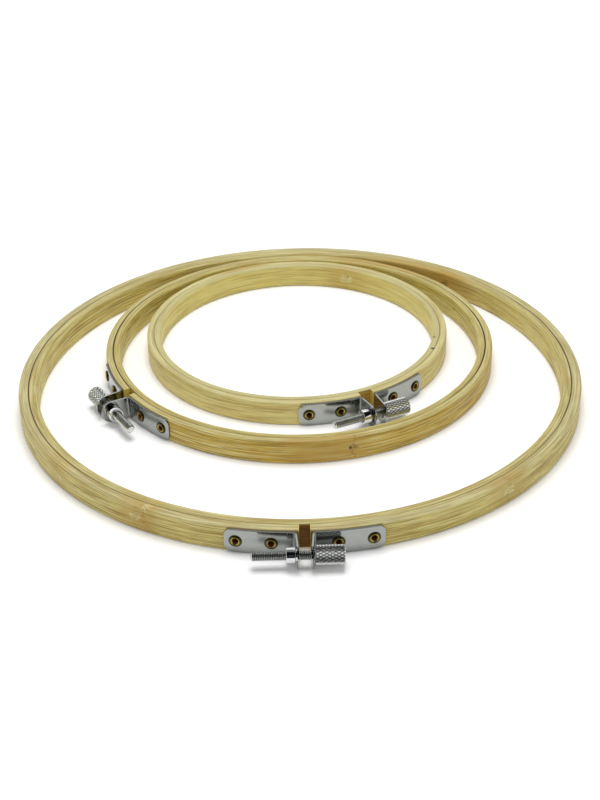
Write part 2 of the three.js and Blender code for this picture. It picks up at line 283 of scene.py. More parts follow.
def hang_lamp():
    data = bpy.data.lights.new("lamp", "AREA")
    data.size = LAMP_WIDTH
    data.energy = LAMP_POWER
    made = bpy.data.objects.new("lamp", data)
    made.location = LAMP_AT
    made.rotation_mode = "QUATERNION"
    made.rotation_quaternion = (-Vector(LAMP_AT)).to_track_quat("-Z", "Y")
    scene.collection.objects.link(made)


def hang_cards():
    black = finish_named("card_black").surface(
        Base_Color=colour(20, 20, 22), Roughness=1.0, Specular_IOR_Level=0.0)
    for name, sizes in (("card_overhead", CARD_OVERHEAD), ("card_in_front", CARD_IN_FRONT)):
        card = sheet(name, black, **sizes)
        card.visible_camera = False
        card.visible_diffuse = False
        card.visible_shadow = False
        card.visible_transmission = False


sheet("table", table_white(), TABLE_SIZE, TABLE_SIZE)
light_the_room()
hang_lamp()
hang_cards()
print("table, world, lamp and cards ready")

# %% [markdown]
# ## Reading the hoops off the frame
#
# Every hoop has its own frame: X points out to the clamp, Y runs along the ring there, and Z is
# up, with the origin in the middle of the ring. All its pieces are made in that frame and moved
# to their place at the end. The medium hoop lies upside down, so its frame is turned over. The
# head of the screw is on the side of +Y, and the nut, which moves when the screw turns, is on the
# side of -Y.

# %% Hoops
class Hoop:
    """The sizes and the place of one hoop, read off its rings and its screw."""

    def __init__(self, name):
        self.name = name
        low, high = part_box(f"{name}_inner_ring")
        centre = (low + high) / 2
        screw = next(joint for joint in frame["joints"] if joint["name"] == f"{name}_screw_turn")
        arm = Vector(screw["pos_m"]) - centre
        self.clamp = math.atan2(arm.y, arm.x)
        self.screw_radius = arm.length / MM
        self.inside, self.inner_outside = self.reach(f"{name}_inner_ring", centre)
        self.radius = self.reach(f"{name}_outer_ring", centre)[1]
        self.height = (high.z - low.z) / MM
        self.centre = centre
        along = Vector((-math.sin(self.clamp), math.cos(self.clamp), 0))
        self.turned_over = along.dot(Vector(screw["axis"])) > 0
        flex = next(joint for joint in frame["joints"] if joint["name"] == f"{name}_jaw_flex")
        self.closing = math.radians(min(abs(end) for end in flex["range_deg"]))
        over = Matrix.Rotation(math.pi if self.turned_over else 0, 4, "X")
        turn = Matrix.Rotation(self.clamp, 4, "Z")
        self.place = Matrix.Translation(centre) @ turn @ over @ Matrix.Scale(MM, 4)

    def reach(self, node, centre):
        """The least and the greatest distance of a node's points from the hoop's axis."""
        points = (vertex.co - centre for vertex in frame["nodes"][node].data.vertices)
        distances = [math.hypot(point.x, point.y) / MM for point in points]
        return min(distances), max(distances)


hoops = [Hoop(name) for name in ("large", "medium", "small")]
for hoop in hoops:
    print(f"{hoop.name}: radius {hoop.radius:.2f}, inner ring {hoop.inside:.2f} to "
          f"{hoop.inner_outside:.2f}, clamp at {math.degrees(hoop.clamp) % 360:.1f} degrees")

# %% [markdown]
# ## Bamboo
#
# Bamboo is a bundle of long straight fibres. When a strip is bent into a ring the fibres follow
# it round, so a noise has to be stretched along the ring and squeezed across it. An angle would
# do that but leaves a seam where it jumps. The trick here is a noise in four dimensions: the
# place along the ring comes from X and Y divided by the length of a fibre, and the two
# directions across come from Z and from the distance to the axis divided by its width.
#
# First come the colours. The six rings are of six strips, so each has a colour for its planed
# tops, one for its walls, and its own strength of grain. The tops are paler partly by their own
# wood and partly by a painted sheen.

# %% Bamboo colours
STRAP_REACH = 32.5  # along the ring, from the middle of the slot to a strap's end
STRAP_INSET = 0.4
SLOT_WIDTHS = {"large": 4.6, "medium": 5.4, "small": 6.6}
SEAM = 0.3
# How dark each hoop's seam is painted, with dirt and painted shade
SEAM_DIRT_AND_SHADE = {"large": 0.7, "medium": 0.9, "small": 0.35}
PALE = colour(222, 213, 150)
AMBER = colour(180, 142, 54)
DEEP = colour(150, 124, 50)
SKIN = colour(112, 74, 20)
# A dark brown for nicks, and for painted shade in the seam, the slot and along the straps
DARKEST_BROWN = colour(58, 36, 14)
END_GRAIN = colour(240, 216, 106)

# Tops and walls of each ring; the tops' paler colour is partly painted sheen
WOODS_WITH_TOP_SHEEN = {
    ("large", "outer"): (colour(186, 178, 126), colour(217, 201, 112)),
    ("large", "inner"): (colour(182, 170, 104), colour(220, 202, 104)),
    ("medium", "outer"): (colour(190, 178, 112), colour(208, 175, 55)),
    ("medium", "inner"): (colour(180, 165, 89), colour(219, 202, 99)),
    ("small", "outer"): (colour(204, 194, 134), colour(233, 218, 142)),
    ("small", "inner"): (colour(192, 184, 126), colour(219, 202, 109)),
}
# The inner ring's wall in the slot: its own darker wood with painted shade
SLOT_SHADED_WOODS = {
    "large": colour(146, 98, 14), "medium": colour(218, 192, 74), "small": colour(222, 176, 78),
}

# How strongly each ring is grained
MARKED = {
    ("large", "outer"): 1.0, ("large", "inner"): 0.95, ("medium", "outer"): 1.0,
    ("medium", "inner"): 0.95, ("small", "outer"): 0.6, ("small", "inner"): 0.5,
}
print("colours of", len(WOODS_WITH_TOP_SHEEN), "rings")

# %% [markdown]
# ## The grain and its marks
#
# Five noises lie over each other, from broad bands to fine fibres. The widest only makes the
# others wander. Each of the rest is read by ramps that say where it is pale and where it is dark,
# and the table `GRAIN` lists them. A sixth one is short and broad, for the crossed fibres of a
# knot and of a sawn end.
#
# A culm has knots where its leaves grew, and a used strip has a stain here and there and small
# nicks. Some of the amber patches are painted shade instead, where one ring lies in the shadow of
# the next at the back on the right. Noise can't put them where they are on the real rings, so
# they are listed one by one.

# %% Grain, knots, nicks and stains
# Length along the ring and width across it in millimetres, and the noise's detail
BANDS = (60, 5, 2)
PATCHES = (15, 3, 2)
STREAKS = (32, 0.7, 3)
LINES = (24, 0.4, 2)
FINE = (12, 0.22, 2)
CROSSED = (1.6, 0.7, 2)

# Which noise, the ramp's start and end, its strength, and the colour that it brings
GRAIN = (
    ("patches", 0.5, 0.66, 0.45, AMBER), ("patches", 0.46, 0.34, 0.35, PALE),
    ("streaks", 0.53, 0.575, 0.55, DEEP), ("streaks", 0.46, 0.41, 0.6, PALE),
    ("lines", 0.56, 0.61, 0.85, DEEP), ("lines", 0.44, 0.38, 0.6, PALE),
    ("fine", 0.54, 0.66, 0.4, SKIN),
)

# A knot is (degrees, height, half its length, colour), a nick (degrees, radius, height, size) and
# an amber patch, a stain at some bearings and painted shade at others, (degrees, half its
# length). Degrees are bearings, and 90 is away from the camera.
KNOTS = {
    ("large", "outer"): ((238.0, 0.6, 3.6, PALE), (240.0, 5.2, 2.0, PALE),
                         (311.2, 0.6, 4.0, PALE), (216.4, -0.2, 2.8, PALE)),
    ("large", "inner"): ((50.6, 0.5, 3.0, DEEP),),
    ("medium", "outer"): ((283.9, 0.8, 2.6, DEEP),),
    ("medium", "inner"): ((70.0, 0.0, 3.0, PALE),),
    ("small", "inner"): ((66.4, 0.5, 4.4, PALE),),
}
NICKS = {
    "medium": ((44.8, 84.9, 5.6, 1.1), (49.2, 92.4, 5.4, 0.8), (24.0, 86.0, 1.5, 0.7),
               (283.0, 92.7, 0.6, 0.9)),
    "small": ((338.6, 69.1, 5.6, 1.2), (348.0, 67.5, 5.7, 0.8)),
}
# Amber patches: stains, and painted shade where one ring lies in the shadow of the next at the back
# on the right
STAINS_AND_SHADE = {
    ("medium", "outer"): ((62.0, 36.0), (274.0, 18.0)),
    ("large", "inner"): ((56.0, 40.0),),
    ("small", "outer"): ((112.0, 18.0),),
}
print(sum(map(len, KNOTS.values())), "knots,", sum(map(len, NICKS.values())), "nicks and",
      sum(map(len, STAINS_AND_SHADE.values())), "stains_and_shade")

# %% [markdown]
# ## Fibres that follow a ring
#
# One object keeps what the finish of a ring needs: where a point lies, measured from the middle
# of the hoop, and the noises there. A bearing, as on a compass, says where round the ring a mark
# sits.

# %% Fibres
WANDER = 5  # how far the bands push the finer noises about


def from_the_middle(shader, hoop):
    """Object coordinates in millimetres from the middle of a hoop, also as x, y and z."""
    where = shader.node("ShaderNodeTexCoord", {}, {}, "Object")
    centred = shader.node("ShaderNodeMapping", {}, {
        "Vector": where, "Location": tuple(-hoop.centre / MM), "Scale": (1 / MM,) * 3,
    })
    axes = [shader.node("ShaderNodeSeparateXYZ", {}, {0: centred}, axis) for axis in "XYZ"]
    return [centred] + axes


class Fibres:
    """Places and noises on one ring. shift moves them, so that no two rings are alike."""

    def __init__(self, hoop, ring, shift):
        self.shader = finish_named(f"bamboo_{hoop.name}_{ring}")
        self.shift = shift
        self.centred, self.x, self.y, self.z = from_the_middle(self.shader, hoop)
        self.radius = (self.x * self.x + self.y * self.y).root()
        self.flat = (self.z.size() - hoop.height / 2).ramp(-0.8, -0.2)
        bands = self.noise(*BANDS)
        self.patches = self.noise(*PATCHES, bands)
        self.streaks, self.lines, self.fine = (
            self.noise(*sizes, bands * WANDER) for sizes in (STREAKS, LINES, FINE))
        self.crossed = self.noise(*CROSSED)

    def noise(self, length, width, detail, wander=0.0):
        along = {0: self.x / length, 1: self.y / length, 2: self.z / width + wander + self.shift}
        return self.shader.node("ShaderNodeTexNoise", {"noise_dimensions": "4D"}, {
            "Vector": self.shader.node("ShaderNodeCombineXYZ", {}, along),
            "W": self.radius / width + self.shift, "Scale": 1.0, "Detail": detail,
        })

    def bearing(self, degrees):
        """How far a point lies beside a bearing, and a mask of the half that it points to."""
        towards = math.radians(degrees)
        beside = self.y * math.cos(towards) - self.x * math.sin(towards)
        ahead = self.x * math.cos(towards) + self.y * math.sin(towards)
        return beside, ahead.ramp(0, 1)


print("fibres ready")

# %% [markdown]
# ## Marking the wood
#
# Each step takes the colour so far and gives it back changed. A knot is an eye of crossed fibres
# in a darker cloud, and a join that runs across the strip. The streaks push it out of shape,
# because a mark with a clean outline looks printed.

# %% Grain, stains, knots and nicks on a ring
TOPS_LESS = 0.3  # by how much the grain is weaker on the planed tops
# How ragged and how strong the amber patches of stain and painted shade are
STAIN_AND_SHADE_RAGGED = 9
STAIN_AND_SHADE_STRENGTH = 0.6
KNOT_SKEW = 6
KNOT_SQUASH = 1.6
KNOT_CLOUD = 4  # the cloud's length, as a multiple of the eye's


def grained(fibres, hoop, ring):
    sheened_tops, walls = WOODS_WITH_TOP_SHEEN[hoop.name, ring]
    mix = fibres.shader.mix
    much = MARKED[hoop.name, ring] * (1 - fibres.flat * TOPS_LESS)
    noises = {"patches": fibres.patches, "streaks": fibres.streaks, "lines": fibres.lines,
              "fine": fibres.fine}
    # The paler tops carry a painted sheen as well as their own tone
    tone = mix(fibres.flat, walls, sheened_tops)
    for noise, start, end, strength, tint in GRAIN:
        tone = mix(noises[noise].ramp(start, end) * much * strength, tone, tint)
    return tone


def stained_and_shaded(fibres, tone, stains_and_shade):
    for degrees, half in stains_and_shade:
        beside, ahead = fibres.bearing(degrees)
        ragged = beside + (fibres.patches - 0.5) * STAIN_AND_SHADE_RAGGED
        # Each patch turns the ring towards amber, as a stain and, at the back, as painted shade
        # between the rings
        cloud = ragged.size().ramp(half, half * 0.4) * ahead
        tone = fibres.shader.mix(cloud * STAIN_AND_SHADE_STRENGTH, tone, AMBER)
    return tone


def knotted(fibres, tone, knots):
    mix, crossed = fibres.shader.mix, fibres.crossed
    for degrees, height, half, mark in knots:
        beside, ahead = fibres.bearing(degrees)
        skewed = beside + (fibres.streaks - 0.5) * KNOT_SKEW
        tone = mix(skewed.size().ramp(half * KNOT_CLOUD, half) * ahead * 0.4, tone, AMBER)
        upright = (fibres.z - height) * KNOT_SQUASH
        eye = (skewed * skewed + upright * upright).root().ramp(half, half * 0.75) * ahead
        tone = mix(eye * (0.35 + crossed.ramp(0.5, 0.6) * 0.5), tone, mark)
        tone = mix(eye * crossed.ramp(0.46, 0.38) * 0.7, tone, DEEP)
        join = skewed.size().ramp(1.4, 0.4) * ahead
        tone = mix(join * crossed.ramp(0.54, 0.62) * 0.55, tone, SKIN)
    return tone


def distance(shader, centred, spot):
    settings = {"operation": "DISTANCE"}
    return shader.node("ShaderNodeVectorMath", settings, {0: centred, 1: tuple(spot)}, "Value")


def nicked(fibres, tone, nicks):
    for degrees, out, height, size in nicks:
        towards = math.radians(degrees)
        spot = (out * math.cos(towards), out * math.sin(towards), height)
        away = distance(fibres.shader, fibres.centred, spot)
        tone = fibres.shader.mix(away.ramp(size, size * 0.5), tone, DARKEST_BROWN)
    return tone


print("wood marks ready")

# %% [markdown]
# ## Dirt and painted shade, the slot and the sawn ends
#
# The seam between the rings is darkened with dirt and painted shade, most at the sides where the
# seam is open, and a line of painted shadow lies on the wood above and below each strap. In the
# slot the wall of the inner ring shows bare and darker: its own wood, with painted shade. The sawn
# ends of the outer ring show the ends of the fibres.

# %% Dirt and painted shade, slot and sawn ends
# At the front and back the seam gets only this share of the dirt and painted shade at the sides
LEAST_DIRT_AND_SHADE = 0.15  # in the seam at the front and back, as a share of the dirt at the sides
# How dark the painted shadow is on the wood along each strap's edges
STRAP_SHADOW_LINE = 0.55


def seam_dirt_and_shade(fibres, tone, hoop):
    # Dirt and painted shade in the seam, strongest at the sides where the seam is open
    seam = (fibres.radius - hoop.inner_outside - SEAM / 2).size().ramp(0.5, 0.2)
    sideways = fibres.x * fibres.x / (fibres.radius * fibres.radius)
    share = LEAST_DIRT_AND_SHADE + sideways * sideways * (1 - LEAST_DIRT_AND_SHADE)
    return fibres.shader.mix(seam * share * SEAM_DIRT_AND_SHADE[hoop.name], tone, DARKEST_BROWN)


def bare_and_shaded_in_slot(fibres, tone, hoop):
    beside, ahead = fibres.bearing(math.degrees(hoop.clamp))
    slot = SLOT_WIDTHS[hoop.name] / 2
    bare_and_shaded = (fibres.radius - hoop.inner_outside).ramp(-0.35, -0.1) * (1 - fibres.flat)
    bare_and_shaded = bare_and_shaded * beside.size().ramp(slot + 1.6, slot + 0.2) * ahead
    worn = fibres.fine.ramp(0.46, 0.62) * 0.55
    # The bare wall in the slot gets its own darker wood and painted shade
    wood = fibres.shader.mix(worn, SLOT_SHADED_WOODS[hoop.name], DARKEST_BROWN)
    return fibres.shader.mix(bare_and_shaded, tone, wood)


def sawn_ends_and_strap_shadow(fibres, tone, hoop):
    beside, ahead = fibres.bearing(math.degrees(hoop.clamp))
    slot = SLOT_WIDTHS[hoop.name] / 2
    cut = beside.size().ramp(slot + 0.15, slot + 0.05) * ahead
    ends = fibres.shader.mix(fibres.crossed.ramp(0.5, 0.7) * 0.5, END_GRAIN, SKIN)
    tone = fibres.shader.mix(cut, tone, ends)
    # A line of painted shadow on the wood along the strap's top and bottom edges
    reach = hoop.radius * math.sin(STRAP_REACH / hoop.radius)
    edge = hoop.height / 2 - STRAP_INSET
    line = beside.size().ramp(reach - 0.6, reach - 1.6) * ahead
    line = line * fibres.z.size().ramp(edge + 0.35, edge + 0.1) * (1 - cut)
    line = line * (fibres.radius - hoop.radius).ramp(-1.2, -0.7)
    return fibres.shader.mix(line * STRAP_SHADOW_LINE, tone, DARKEST_BROWN)


print("dirt and ends ready")

# %% [markdown]
# ## The finish of a ring
#
# The steps are laid on in the order in which a real ring gets them, the dirt and painted shade
# last. The same noises also give a little relief.

# %% Bamboo finish
def bamboo(hoop, ring, shift):
    fibres = Fibres(hoop, ring, shift)
    tone = grained(fibres, hoop, ring)
    tone = stained_and_shaded(fibres, tone, STAINS_AND_SHADE.get((hoop.name, ring), ()))
    tone = knotted(fibres, tone, KNOTS.get((hoop.name, ring), ()))
    tone = nicked(fibres, tone, NICKS.get(hoop.name, ()))
    tone = seam_dirt_and_shade(fibres, tone, hoop)
    at_clamp = bare_and_shaded_in_slot if ring == "inner" else sawn_ends_and_strap_shadow
    tone = at_clamp(fibres, tone, hoop)
    relief = fibres.streaks * 0.5 + fibres.lines * 0.3 + fibres.fine * 0.2
    bump = fibres.shader.node("ShaderNodeBump", {}, {
        "Height": relief, "Strength": 0.4, "Distance": 0.12 * MM,
    })
    return fibres.shader.surface(
        Base_Color=tone, Roughness=0.42 + fibres.fine * 0.2, Normal=bump)


bamboos = {}
for index, hoop in enumerate(hoops):
    for ring in ("outer", "inner"):
        shift = 11.3 * index + 5 * (ring == "inner")
        bamboos[hoop.name, ring] = bamboo(hoop, ring, shift)
print("bamboo finishes:", len(bamboos))

# %% [markdown]
# ## Metals
#
# The straps are bright plated steel, rolled and pressed, so they carry faint lines and reflect
# almost like a mirror. The screw and the nut are turned and chromed. The rivets are brass.
#
# The metal is painted darker where shade falls and grime gathers: in the grooves of a knurl, at
# the root of a thread, round a collar. Each mesh says where that is by an attribute of its points,
# from 0 to 1, and the finish reads it. A second one, `inside`, marks a painted warm brown
# reflection in the bore of a rivet.

# %% Metal finishes
# The colour of painted shade and grime in the hollows of the metal
SHADE_AND_GRIME_COLOUR = colour(38, 37, 32)
SHADE_AND_GRIME_COVERS = 0.92
GRIME_DULLS = 0.2
# A painted warm brown in the bore of a rivet, for the light that wood and brass reflect into it
BORE_REFLECTION_BROWN = colour(128, 70, 34)
BORE_REFLECTION_COVERS = 0.8  # how much of the metal's shine it takes away
SCRATCHES_COVER = 0.25
DULLED = 0.72


def scratched(shader, base, grain):
    """Faint marks, grain to a millimetre, and the base colour as they dull it."""
    where = shader.node("ShaderNodeTexCoord", {}, {}, "Object")
    marks = shader.node("ShaderNodeTexNoise", {}, {
        "Vector": where, "Scale": grain / MM, "Detail": 4.0,
    })
    dull = tuple(DULLED * part for part in base[:3]) + (1.0,)
    return marks, shader.mix(marks.ramp(0.35, 0.75) * SCRATCHES_COVER, base, dull)


def metal(name, base, shade_and_grime_tone, roughness, grain, spread):
    """spread is how far the faint marks change the polish."""
    shader = finish_named(name)
    marks, shade = scratched(shader, base, grain)
    shade_and_grime = shader.node("ShaderNodeAttribute", {"attribute_name": "shade_and_grime"}, {}, "Fac")
    inside = shader.node("ShaderNodeAttribute", {"attribute_name": "inside"}, {}, "Fac")
    # Painted shade and grime in the hollows that the mesh marks
    shade = shader.mix(shade_and_grime.ramp(0.1, 0.9) * SHADE_AND_GRIME_COVERS, shade, shade_and_grime_tone)
    # A painted warm reflection in the bore, which also takes away most of the shine
    shade = shader.mix(inside, shade, BORE_REFLECTION_BROWN)
    polish = roughness + (marks - 0.5).size() * spread + (shade_and_grime + inside) * GRIME_DULLS
    shine = 1 - inside * BORE_REFLECTION_COVERS
    return shader.surface(Base_Color=shade, Metallic=shine, Roughness=polish)


chrome = metal("chrome", colour(222, 223, 223), SHADE_AND_GRIME_COLOUR, 0.08, 0.6, 0.10)
knurled = metal("chrome_knurled", colour(214, 216, 212), SHADE_AND_GRIME_COLOUR, 0.22, 0.6, 0.10)
brass = metal("brass", colour(168, 156, 84), colour(58, 46, 8), 0.16, 0.8, 0.15)
print("metals ready")

# %% [markdown]
# ## Outlines, turning and placing
#
# Most pieces of a hoop start as an outline. `outline` takes its corners and rounds each of them
# with a vertex bevel. `turned` spins an outline round the Z axis, as a lathe does. `piece` moves a
# finished mesh to its place, shades it smooth except across its sharp edges, gives it its finish
# and hides the frame's own parts that it stands for.

# %% Mesh helpers
CORNER_STEPS = 4
SHARP = math.radians(38)


def outline(corners, closed=True):
    """Edges through (x, z) corners, each (x, z, rounding)."""
    bm = bmesh.new()
    vertices = [bm.verts.new((x, 0, z)) for x, z, rounding in corners]
    count = len(vertices)
    for index in range(count if closed else count - 1):
        bm.edges.new((vertices[index], vertices[(index + 1) % count]))
    for vertex, (x, z, rounding) in zip(vertices, corners):
        if rounding:
            bmesh.ops.bevel(bm, geom=[vertex], offset=rounding, segments=CORNER_STEPS,
                            profile=0.5, affect="VERTICES", material=-1)
    return bm


def spin(bm, start, angle, steps):
    """Spins all edges round Z. A full turn is welded, and a part turn gets flat ends."""
    bmesh.ops.rotate(bm, verts=bm.verts, cent=(0, 0, 0), matrix=Matrix.Rotation(start, 3, "Z"))
    full = angle >= 2 * math.pi
    bmesh.ops.spin(bm, geom=bm.edges[:], cent=(0, 0, 0), axis=(0, 0, 1), dvec=(0, 0, 0),
                   angle=angle, steps=steps, use_merge=full)
    bmesh.ops.remove_doubles(bm, verts=bm.verts, dist=1e-4)
    if not full:
        bmesh.ops.holes_fill(bm, edges=[edge for edge in bm.edges if edge.is_boundary], sides=0)
    bmesh.ops.recalc_face_normals(bm, faces=bm.faces)
    return bm


def turned(corners, steps, closed=False):
    return spin(outline(corners, closed), 0, 2 * math.pi, steps)


def mesh_of(bm, name):
    mesh = bpy.data.meshes.new(name)
    bm.to_mesh(mesh)
    bm.free()
    return mesh


def piece(name, bm, hoop, material, nodes, turn=Matrix()):
    """turn places the piece in the hoop's own frame, and hoop.place takes it to the table."""
    bm.transform(hoop.place @ turn)
    mesh = mesh_of(bm, name)
    mesh.shade_smooth()
    mesh.set_sharp_from_angle(angle=SHARP)
    mesh.materials.append(material)
    made = bpy.data.objects.new(name, mesh)
    scene.collection.objects.link(made)
    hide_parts(*nodes)
    return made


SIDE_OVER = Matrix.Rotation(math.pi, 4, "X")
OUTWARDS = Matrix.Rotation(math.pi / 2, 4, "Y")
ALONG = Matrix.Rotation(-math.pi / 2, 4, "X")
print("mesh helpers ready")

# %% [markdown]
# ## The inner rings
#
# The inner ring is a closed hoop of bamboo with eased edges. Its section is a rounded
# rectangle, spun once round the axis. The clamp draws the outer ring onto it at the front and
# back, so the seam is open at the sides and almost gone at the front. To show that, every point
# is then moved out or in a little. On the nut's side the seam stays wider, by as much as the
# outer ring moves in when the screw is turned tight.

# %% Inner rings
OPEN_EASE = 1.0
SEAM_EASE = 0.15
RING_STEPS = 360
FLEX_OVER = math.radians(50)
SEAM_IN_FRONT = {"large": 0.05, "medium": 0.07, "small": 0.04}
SEAM_AT_SIDES = {"large": 0.2, "medium": 0.3, "small": 0.08}


def ring_section(inside, outside, height, inside_ease, outside_ease):
    half = height / 2
    return outline([
        (inside, -half, inside_ease), (outside, -half, outside_ease),
        (outside, half, outside_ease), (inside, half, inside_ease),
    ])


def bending(hoop):
    """X in the hoop's own frame where the nut's side starts to bend, and where it is all jaw."""
    firm = STRAP_REACH / hoop.radius
    return hoop.radius * math.cos(firm + FLEX_OVER), hoop.radius * math.cos(firm)


def drawn_in(hoop, x, y):
    """How far the closing clamp draws the nut's side of the outer ring in at x, y."""
    start, end = bending(hoop)
    share = min(max((x - start) / (end - start), 0), 1)
    return hoop.closing * max(-y, 0) * share * share * (3 - 2 * share)


def fill_out(bm, hoop):
    """Lets the ring fill the outer one more at the front and back than at the sides."""
    front, sides = SEAM_IN_FRONT[hoop.name], SEAM_AT_SIDES[hoop.name]
    for vertex in bm.verts:
        angle = math.atan2(vertex.co.y, vertex.co.x)
        angle = hoop.clamp + (-angle if hoop.turned_over else angle)
        seam = front + (sides - front) * math.cos(angle) ** 4
        seam = max(seam, front + drawn_in(hoop, vertex.co.x, vertex.co.y))
        share = 1 + (SEAM - seam) / hoop.inner_outside
        vertex.co.x *= share
        vertex.co.y *= share


def inner_ring(hoop):
    section = ring_section(hoop.inside, hoop.inner_outside, hoop.height, OPEN_EASE, SEAM_EASE)
    bm = spin(section, 0, 2 * math.pi, RING_STEPS)
    fill_out(bm, hoop)
    name = f"{hoop.name}_inner_hoop"
    ring = piece(name, bm, hoop, bamboos[hoop.name, "inner"],
                 [f"{hoop.name}_inner_ring"])
    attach(ring, f"{hoop.name}_inner")
    return ring


for hoop in hoops:
    ring = inner_ring(hoop)
    print(ring.name, len(ring.data.polygons), "faces")

# %% [markdown]
# ## The outer rings
#
# The outer ring is a strip with a saw cut, and it bends when the clamp opens. It is made as two
# halves that meet at the back: the half with the screw's head is attached to the outer ring's body,
# and the half with the nut is turned over and keeps its place baked into its mesh. The rivet holes
# are drilled with a Boolean, because a drilled hole is just what a Boolean makes.

# %% Outer rings
EYELET_MARGIN = 4.75
EYELET_PITCH = 14.4
EYELETS_ALONG = (STRAP_REACH - EYELET_MARGIN - EYELET_PITCH, STRAP_REACH - EYELET_MARGIN)
BARREL = 1.75
RIVET_HOLE = 1.8
DRILL_SIDES = 32
DRILL_PAST = 1
CLINCH = 2.35
CLINCH_DEEP = 0.3
CLINCH_THICK = 0.4


def rivet_drill(hoop, along):
    """A stepped drill: the barrel's hole, and a wider recess for the clinched end inside."""
    seam = hoop.inner_outside + SEAM
    recess = seam + CLINCH_DEEP + CLINCH_THICK
    tip, tail, wide = seam - DRILL_PAST, hoop.radius + DRILL_PAST, CLINCH + 0.1
    drill = turned([
        (0, tip, 0), (wide, tip, 0), (wide, recess, 0),
        (RIVET_HOLE, recess, 0), (RIVET_HOLE, tail, 0), (0, tail, 0),
    ], DRILL_SIDES)
    drill.transform(Matrix.Rotation(along / hoop.radius, 4, "Z") @ OUTWARDS)
    return drill


def drilled(bm, drills, name):
    """Cuts all the drills out of a mesh with one Boolean modifier, and gives back a bmesh."""
    tool = bmesh.new()
    for drill in drills:
        spare = mesh_of(drill, "drill")
        tool.from_mesh(spare)
        bpy.data.meshes.remove(spare)
    body = bpy.data.objects.new(name + "_blank", mesh_of(bm, name + "_blank"))
    cutter = bpy.data.objects.new(name + "_drill", mesh_of(tool, name + "_drill"))
    for helper in (body, cutter):
        scene.collection.objects.link(helper)
    cut = body.modifiers.new("drill", "BOOLEAN")
    cut.operation = "DIFFERENCE"
    cut.solver = "EXACT"
    cut.object = cutter
    bpy.context.view_layer.update()
    ready = body.evaluated_get(bpy.context.evaluated_depsgraph_get())
    result = bmesh.new()
    result.from_mesh(ready.to_mesh())
    ready.to_mesh_clear()
    for helper in (body, cutter):
        data = helper.data
        bpy.data.objects.remove(helper)
        bpy.data.meshes.remove(data)
    return result


def outer_half(hoop, side):
    seam = hoop.inner_outside + SEAM
    section = ring_section(seam, hoop.radius, hoop.height, SEAM_EASE, OPEN_EASE)
    cut_angle = math.asin(SLOT_WIDTHS[hoop.name] / 2 / hoop.radius)
    bm = spin(section, cut_angle, math.pi - cut_angle, RING_STEPS // 2)
    name = f"{hoop.name}_outer_hoop_{side}"
    drills = [rivet_drill(hoop, along) for along in EYELETS_ALONG]
    bm = drilled(bm, drills, name)
    turn = SIDE_OVER if side == "nut_side" else Matrix()
    half = piece(name, bm, hoop, bamboos[hoop.name, "outer"],
                 [f"{hoop.name}_outer_ring"], turn)
    if side == "head_side":
        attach(half, f"{hoop.name}_outer")
        return half
    start, end = bending(hoop)
    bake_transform(half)
    return half


for hoop in hoops:
    for side in ("head_side", "nut_side"):
        half = outer_half(hoop, side)
        print(half.name, len(half.data.polygons), "faces")

# %% [markdown]
# ## The straps
#
# Each bracket is stamped flat from steel sheet and then bent, and it is made here in the same
# order. The flat blank is a rectangle whose corners are rounded with vertex bevels, with circles
# for its holes, filled and extruded to the sheet's thickness. A narrow bevel along every rim
# catches the light. Then `bisect_plane` scores the blank wherever it has to bend, and every
# point is moved along the bent line: straight ear, tight bend, long curve round the wood.

# %% Straps
STRAP_THICKNESS = 0.8
STRAP_CORNER = 3.2
BEND_RADIUS = 0.9
EAR_SPACING = 5.2
LEAN = math.radians(4)
SEAT = 0.05
RIM = 0.13
RIM_ANGLE = math.radians(60)
EAR_HOLE = 2.75
COLLAR = 2.5
STEEL = colour(166, 169, 165)
STEEL_POLISH = 0.12
ROUND_STEPS = 14
HOLE_SIDES = 36
BEND_STEPS = 12
STRAP_STEPS = 24
STRAP_OUTSIDE = SEAT + STRAP_THICKNESS


def strap_finish(hoop):
    """Plated steel, with painted shade along its edges on the wood and in a line round each rivet's
    collar.
    """
    shader = finish_named(f"plated_steel_{hoop.name}")
    marks, shade = scratched(shader, STEEL, 0.35)
    centred, x, y, z = from_the_middle(shader, hoop)
    on_wood = ((x * x + y * y).root() - hoop.radius).ramp(1.9, 1.3)
    edge = hoop.height / 2 - STRAP_INSET
    # Painted shade along the strap's edges where they lie on the wood
    shade_and_grime = z.size().ramp(edge - 0.25, edge - 0.05) * on_wood * 0.6
    turn = hoop.place.to_3x3().normalized()
    # Painted shade in a ring round each rivet's collar
    for side in (1, -1):
        for along in EYELETS_ALONG:
            angle = side * along / hoop.radius
            out = hoop.radius + STRAP_OUTSIDE
            centre = turn @ Vector((out * math.cos(angle), out * math.sin(angle), 0))
            away = distance(shader, centred, centre)
            shade_and_grime = shade_and_grime.most(away.ramp(COLLAR + 0.5, COLLAR + 0.15) * 0.75)
    shade = shader.mix(shade_and_grime, shade, SHADE_AND_GRIME_COLOUR)
    polish = STEEL_POLISH + (marks - 0.5).size() * STEEL_POLISH + shade_and_grime * GRIME_DULLS
    return shader.surface(Base_Color=shade, Metallic=1.0, Roughness=polish)


